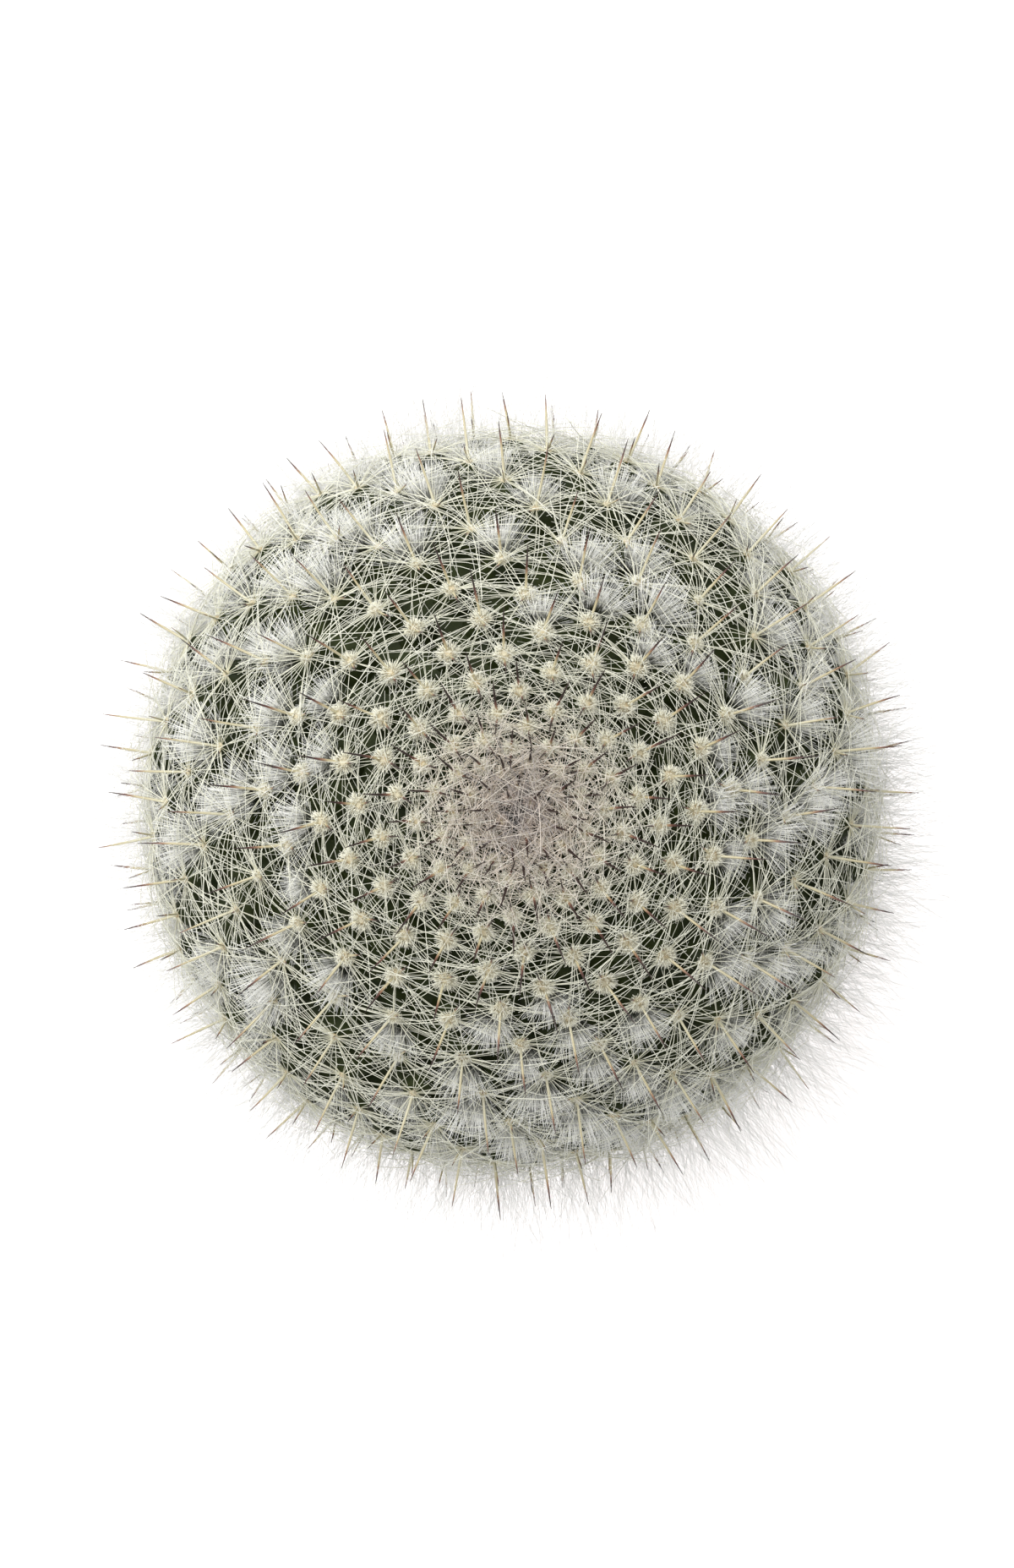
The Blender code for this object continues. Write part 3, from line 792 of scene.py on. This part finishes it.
# Silky wool in tufts behind the areoles, deep between the tubercles, thinner lower down
axilWool = {
    "Count": 400, "Side Range": 2.8, "Side Scatter": 0.5, "Rise Low": 0.60, "Rise High": 1.52,
    "Young Lift": 0.0, "Length": 0.0078, "Length Scatter": 0.72, "Needle": True,
    "Root Radius": 0.0, "Tip Radius": 0.000028, "Bend Scatter": 1.5, "Root Spread": 0.16,
    "Seed": 71, "fromAlong": 0.0225, "thinFrom": 0.048, "thinCount": 165,
    # how many tubercles have a tuft, where it stands in shares of spacing and height, its draws
    "share": 0.61, "behind": 0.36, "depth": 0.8, "swing": 0.20, "leastRadius": 0.004,
    "vigour": (0.65, 1.1), "draws": 19,
}

# The finest hairs, loose and bent every way: the halo round the widest level
haloHair = {
    "Count": 130, "Side Range": 3.8, "Side Scatter": 0.6, "Rise Low": 0.30, "Rise High": 1.48,
    "Young Lift": 0.0, "Length": 0.0212, "Length Scatter": 0.60, "Root Radius": 0.000031,
    "Tip Share": 0.45, "Joints": 3, "Bend": 0.22, "Bend Scatter": 3.0, "Root Spread": 0.5,
    "Root Lift": -0.42, "Curl": 0.0016, "Curl Scale": 110.0, "Seed": 83,
    "fromAlong": 0.058, "toAlong": 0.074,
}
# lower down it stands straight out, clear of the pot's rim
lowerHair = {
    **haloHair, "Count": 120, "Side Range": 6.2832, "Rise Low": 1.02, "Seed": 84,
    "toAlong": 0.0875,
}


def dress(piece):
    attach(piece, "root")
    return piece


def feltVigour(along):
    f = feltFibres
    return float(np.interp(along, (f["fullTo"], f["wornFrom"]), (1.0, f["wornShare"])))


def axilPoints(name, low, high):
    # just down the stem from some of the tubercles, deep in the groove, a little to one side
    a = axilWool
    rng = random.Random(a["draws"])
    rows = []
    for along, angle in places:
        spacing = float(spacingAt(along))
        radius = float(np.interp(along, meridian["along"], meridian["radius"]))
        swing = rng.uniform(-a["swing"], a["swing"]) * spacing / max(radius, a["leastRadius"])
        vigour = rng.uniform(*a["vigour"])
        if rng.random() < a["share"] and low <= along < high:
            sunk = stemShape["tubercleHeight"] * spacing * a["depth"]
            place = onStem(along + a["behind"] * spacing, angle + swing, sunk)
            rows.append((*place, spacing, ageAt(along), vigour))
    return pointMesh(name, rows)


def growHair():
    bristle, spine, felt = bristleMaterial(), spineMaterial(), feltMaterial()
    silk = woolMaterial("silkyHair", (0.89, 0.89, 0.87), (0.955, 0.955, 0.94))
    wool = woolMaterial("axilWool", (0.86, 0.86, 0.82), (0.94, 0.94, 0.905))
    worn, thin, woolly = feltFibres["wornFrom"], axilWool["thinFrom"], axilWool["fromAlong"]
    limb, middle, lowest = haloHair["fromAlong"], haloHair["toAlong"], lowerHair["toAlong"]
    shoulder, waist = skirtBristles["fromAlong"], skirtBristles["toAlong"]
    # the apex counts as newest, so its down is painted the dark grey of painted shade at the
    # crown's middle
    apex = (*onStem(0.0, 0.0, crownDown["sunk"]), float(spacingAt(0.0)), 0.0, 1.0)
    rows = (
        ("areoleCushions", areolePoints("cushions", vigour=feltVigour), cushions,
         cushionMaterial()),
        ("fullFelt", areolePoints("youngAreoles", 0.0, worn, feltVigour), feltFibres, felt),
        ("wornFelt", areolePoints("oldAreoles", worn, 1.0, feltVigour),
         {**feltFibres, "Count": feltFibres["wornCount"]}, felt),
        ("radialBristlesA", areoles.copy(), {**radialBristles, "Seed": 23}, bristle),
        ("radialBristlesB", areoles.copy(), {**radialBristles, "Seed": 24}, bristle),
        ("crownBristles", areolePoints("crownAreoles", 0.0, crownBristles["reach"]),
         crownBristles, bristle),
        ("crownDown", pointMesh("apex", [apex]), crownDown, bristle),
        ("skirtBristles", areolePoints("shoulder", shoulder, waist), skirtBristles, bristle),
        ("outerSpines", areoles.copy(), outerSpines, spine),
        ("innerSpines", areoles.copy(), innerSpines, spine),
        ("axilWool", axilPoints("upperAxils", woolly, thin), axilWool, wool),
        ("lowerWool", axilPoints("lowerAxils", thin, 1.0),
         {**axilWool, "Count": axilWool["thinCount"]}, wool),
        ("upperHalo", areolePoints("limbAreoles", limb, middle), haloHair, silk),
        ("lowerHalo", areolePoints("lowerAreoles", middle, lowest), lowerHair, silk),
    )
    for name, points, settings, material in rows:
        dress(grow(name, points, sprayTree, {**settings, "Material": material}))


growHair()
print("stage: hair and spines")


# Pot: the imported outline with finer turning, soft edges and a hand-thrown unevenness

potShape = {
    "height": 0.080, "rimRadius": 0.045, "rimHeight": 0.016, "ledge": 0.0026, "baseRadius": 0.030,
    "wall": 0.0044, "floor": 0.0055, "drainRadius": 0.006, "rounding": 0.0012, "sides": 128,
    "bandTaper": 0.001, "underBand": 0.0008, "drainEdge": 0.0006,
    "innerFoot": 0.0012,  # the inside narrows less than the outside
    # the wander of the clay: its reach, where it begins, over what height, and its two scales
    "unevenness": 0.00016, "wanderFrom": 0.003, "wanderOver": 0.01, "blotches": 60, "ridges": 900,
}


def innerRadius(z):
    p = potShape
    top = p["rimRadius"] - p["wall"]
    foot = p["baseRadius"] - p["wall"] + p["innerFoot"]
    return foot + (top - foot) * (z - p["floor"]) / (p["height"] - p["floor"])


def roundedCorner(radius, height, start):
    points = []
    for k in range(7):
        angle = math.radians(start + 15 * k)
        points.append((radius + potShape["rounding"] * math.cos(angle),
                       height + potShape["rounding"] * math.sin(angle)))
    return points


def straightRun(first, last, steps):
    # points strictly between two outline points
    (x, z), (endX, endZ) = first, last
    return [(x + (endX - x) * k / steps, z + (endZ - z) * k / steps) for k in range(1, steps)]


def potOutline():
    p = potShape
    r = p["rounding"]
    bandFoot = p["height"] - p["rimHeight"]
    wallTop = p["rimRadius"] - p["ledge"] - p["bandTaper"]
    corners = [
        roundedCorner(p["baseRadius"] - r, r, -90),
        [(wallTop, bandFoot - p["underBand"])],
        roundedCorner(p["rimRadius"] - p["bandTaper"] - r, bandFoot + r, -90),
        roundedCorner(p["rimRadius"] - r, p["height"] - r, 0),
        roundedCorner(innerRadius(p["height"]) + r, p["height"] - r, 90),
        [(innerRadius(p["floor"]), p["floor"])],
    ]
    outline = [(p["drainRadius"] + p["drainEdge"], 0.0)]
    for corner in corners:
        outline += straightRun(outline[-1], corner[0], 10) + corner
    drainTop = (p["drainRadius"], p["floor"])
    outline += straightRun(outline[-1], drainTop, 6)
    return outline + [drainTop, (p["drainRadius"], p["drainEdge"])]


def buildPot():
    p = potShape
    bm = bmesh.new()
    rings = turned(bm, potOutline(), p["sides"])
    for k in range(p["sides"]):
        after = (k + 1) % p["sides"]
        bm.faces.new((rings[-1][k], rings[0][k], rings[0][after], rings[-1][after]))
    for vert in bm.verts:
        # only the side walls wander: the underside stays flat, the mouth clear of the soil
        flat = Vector((vert.co.x, vert.co.y, 0))
        sideWall = min(1.0, max(0.0, (vert.co.z - p["wanderFrom"]) / p["wanderOver"]))
        wander = noise.noise(vert.co * p["blotches"])
        wander += 0.5 * noise.noise(Vector((0, 0, vert.co.z * p["ridges"])))
        vert.co += flat.normalized() * p["unevenness"] * wander * sideWall
    mesh = meshFrom(bm, "potClay")
    mesh.materials.append(clayMaterial())
    piece = dress(newObject("potClay", mesh))
    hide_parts("pot")


buildPot()
print("stage: pot")


# Soil: a lumpy bed, with grit scattered over what shows of it

soilShape = {
    "top": 0.0725, "gap": 0.0003, "rings": 30, "sides": 180,
    "edgeGap": 0.0002, "edgeDrop": 0.0004,  # where the top meets the pot
    "lumps": 0.0013, "lumpScale": 320, "lumpBase": 0.35,
    "holeDepth": 0.014, "holeRadius": 0.0293, "holeTaper": 0.004,
}


def soilBed():
    s = soilShape
    bm = bmesh.new()
    outer = innerRadius(s["top"]) - s["gap"] - s["edgeGap"]
    floor = potShape["floor"] + s["gap"]
    holeFloor = s["top"] - s["holeDepth"]
    outline = [(innerRadius(floor) - 3 * s["gap"], floor), (outer, s["top"] - s["edgeDrop"])]
    for k in range(1, s["rings"] + 1):
        outline.append((outer + (s["holeRadius"] - outer) * k / s["rings"], s["top"]))
    outline.append((s["holeRadius"] - s["holeTaper"], holeFloor))
    rings = turned(bm, outline, s["sides"], closeTop=floor, closeFoot=holeFloor)
    for ring in rings[2:-2]:
        for vert in ring:
            lump = noise.fractal(vert.co * s["lumpScale"], 0.9, 2.0, 4)
            vert.co.z += s["lumps"] * (s["lumpBase"] + lump)
    return meshFrom(bm, "soilBed")


gritScatter = {
    "Small": 0.0006, "Large": 0.0027, "Seed": 5, "count": 1200, "kinds": 5, "draws": 31,
    "potGap": 0.0016, "holeGap": 0.0012, "lift": 0.0006,
    "dents": 0.55, "dentScale": 1.7, "flat": 0.72,
}


def pebbleMesh(seed):
    # one rough little stone, 1 m across, scaled down where it is placed
    g = gritScatter
    bm = bmesh.new()
    bmesh.ops.create_icosphere(bm, subdivisions=1, radius=0.5)
    for vert in bm.verts:
        dent = noise.noise(vert.co * g["dentScale"] + Vector((seed * 7.3, 0, 0)))
        vert.co *= 1.0 + g["dents"] * dent
        vert.co.z *= g["flat"]
    return meshFrom(bm, "pebble")


def buildScatterTree():
    tree, given, result = openGroup("gritScatter", "GeometryNodeTree", (
        ("Geometry", "Geometry", None), ("Stones", "Collection", None), ("Small", "Float", None),
        ("Large", "Float", None), ("Seed", "Int", None), ("Material", "Material", None)),
        ("Geometry", "Geometry"))
    share = mathNode(tree, "POWER", randomFloat(tree, 0.0, 1.0, given["Seed"], 1), 3.0)
    span = mathNode(tree, "SUBTRACT", given["Large"], given["Small"])
    size = mathNode(tree, "MULTIPLY_ADD", share, span, given["Small"])
    toned = storeField(tree, given["Geometry"], "tone",
                       randomFloat(tree, 0.0, 1.0, given["Seed"], 2))
    stones = addNode(tree, "GeometryNodeCollectionInfo", {
        "Collection": given["Stones"], "Separate Children": True, "Reset Children": True})
    onPoints = addNode(tree, "GeometryNodeInstanceOnPoints", {
        "Points": toned, "Instance": stones.outputs[0], "Pick Instance": True, "Scale": size,
        "Rotation": randomVector(tree, (-0.5, -0.5, 0.0), (0.5, 0.5, 6.2832), given["Seed"], 3)})
    return paintLast(tree, realized(tree, onPoints), given, result)


def buildSoil():
    g = gritScatter
    bed = newObject("soilBed", soilBed())
    bed.data.materials.append(compostMaterial())
    dress(bed)
    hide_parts("soil")
    rng = random.Random(g["draws"])
    outer = innerRadius(soilShape["top"]) - g["potGap"]
    inner = soilShape["holeRadius"] + g["holeGap"]
    spots = []
    for k in range(g["count"]):
        radius = math.sqrt(rng.uniform(inner ** 2, outer ** 2))
        angle = rng.uniform(0, 2 * math.pi)
        height = soilShape["top"] + g["lift"]
        spots.append((radius * math.cos(angle), radius * math.sin(angle), height))
    mesh = bpy.data.meshes.new("gritSpots")
    mesh.from_pydata(spots, [], [])
    stones = bpy.data.collections.new("stones")
    for seed in range(g["kinds"]):
        stones.objects.link(bpy.data.objects.new("stone" + str(seed), pebbleMesh(seed)))
    values = {**g, "Stones": stones, "Material": gritMaterial()}
    dress(grow("looseGrit", mesh, buildScatterTree(), values))
    for stone in list(stones.objects):
        bpy.data.objects.remove(stone)
    bpy.data.collections.remove(stones)


buildSoil()
print("stage: soil")


# Studio: pale floor, soft light from all round, camera straight above with a slight lean

studio = {
    "floorSize": 6.0, "floorGlow": 0.6, "worldStrength": 0.66,
    "keyPower": 15.5, "keySize": 0.9, "keyPlace": (-0.5, 0.6, 1.1),
}


def buildFloor():
    half = studio["floorSize"] / 2
    corners = [(-half, -half, 0), (half, -half, 0), (half, half, 0), (-half, half, 0)]
    mesh = bpy.data.meshes.new("floor")
    mesh.from_pydata(corners, [], [(0, 1, 2, 3)])
    material = newMaterial("paleFloor", (0.92, 0.92, 0.92), 0.9, Emission_Color=(1, 1, 1, 1),
                           Emission_Strength=studio["floorGlow"])[0]
    mesh.materials.append(material)
    newObject("floor", mesh)


def buildStudio():
    buildFloor()
    world = bpy.data.worlds.new("studio")
    world.use_nodes = True
    background = world.node_tree.nodes["Background"].inputs
    background["Color"].default_value = (1, 1, 1, 1)
    background["Strength"].default_value = studio["worldStrength"]
    scene.world = world
    light = bpy.data.lights.new("keyLight", "AREA")
    light.size = studio["keySize"]
    light.energy = studio["keyPower"]
    thing = newObject("keyLight", light)
    thing.location = studio["keyPlace"]
    aim = Vector((0, 0, stemShape["middle"])) - Vector(studio["keyPlace"])
    thing.rotation_euler = aim.to_track_quat("-Z", "Y").to_euler()
    scene.view_settings.view_transform = "Standard"


photoView = {
    "distance": 1.2,
    "pixelsPerMetre": 9150.0,  # at the stem's widest level
    "leanX": 0.0309,  # how far the view leans off the stem's axis
    "leanY": -0.0402,
    "frame": (1200, 1855),
    "stemCentre": (604.0, 948.0),  # photo pixel of the stem's middle
    "sensor": 36.0,
}


def buildCamera():
    v = photoView
    camera = bpy.data.cameras.new("photoCamera")
    camera.sensor_fit = "AUTO"
    camera.sensor_width = v["sensor"]
    longSide = max(v["frame"])
    camera.lens = v["sensor"] * v["distance"] * v["pixelsPerMetre"] / longSide
    camera.shift_x = (v["frame"][0] / 2 - v["stemCentre"][0]) / longSide
    camera.shift_y = (v["stemCentre"][1] - v["frame"][1] / 2) / longSide
    camera.clip_start = 0.01
    towards = Vector((-v["leanX"], -v["leanY"], 1.0)).normalized()
    right = (Vector((1, 0, 0)) - towards * towards.x).normalized()
    up = towards.cross(right)
    thing = newObject("photoCamera", camera)
    thing.matrix_world = Matrix((right, up, towards)).transposed().to_4x4()
    thing.location = Vector((0, 0, stemShape["middle"])) + towards * v["distance"]
    scene.camera = thing


buildStudio()
buildCamera()
print("stage: studio")
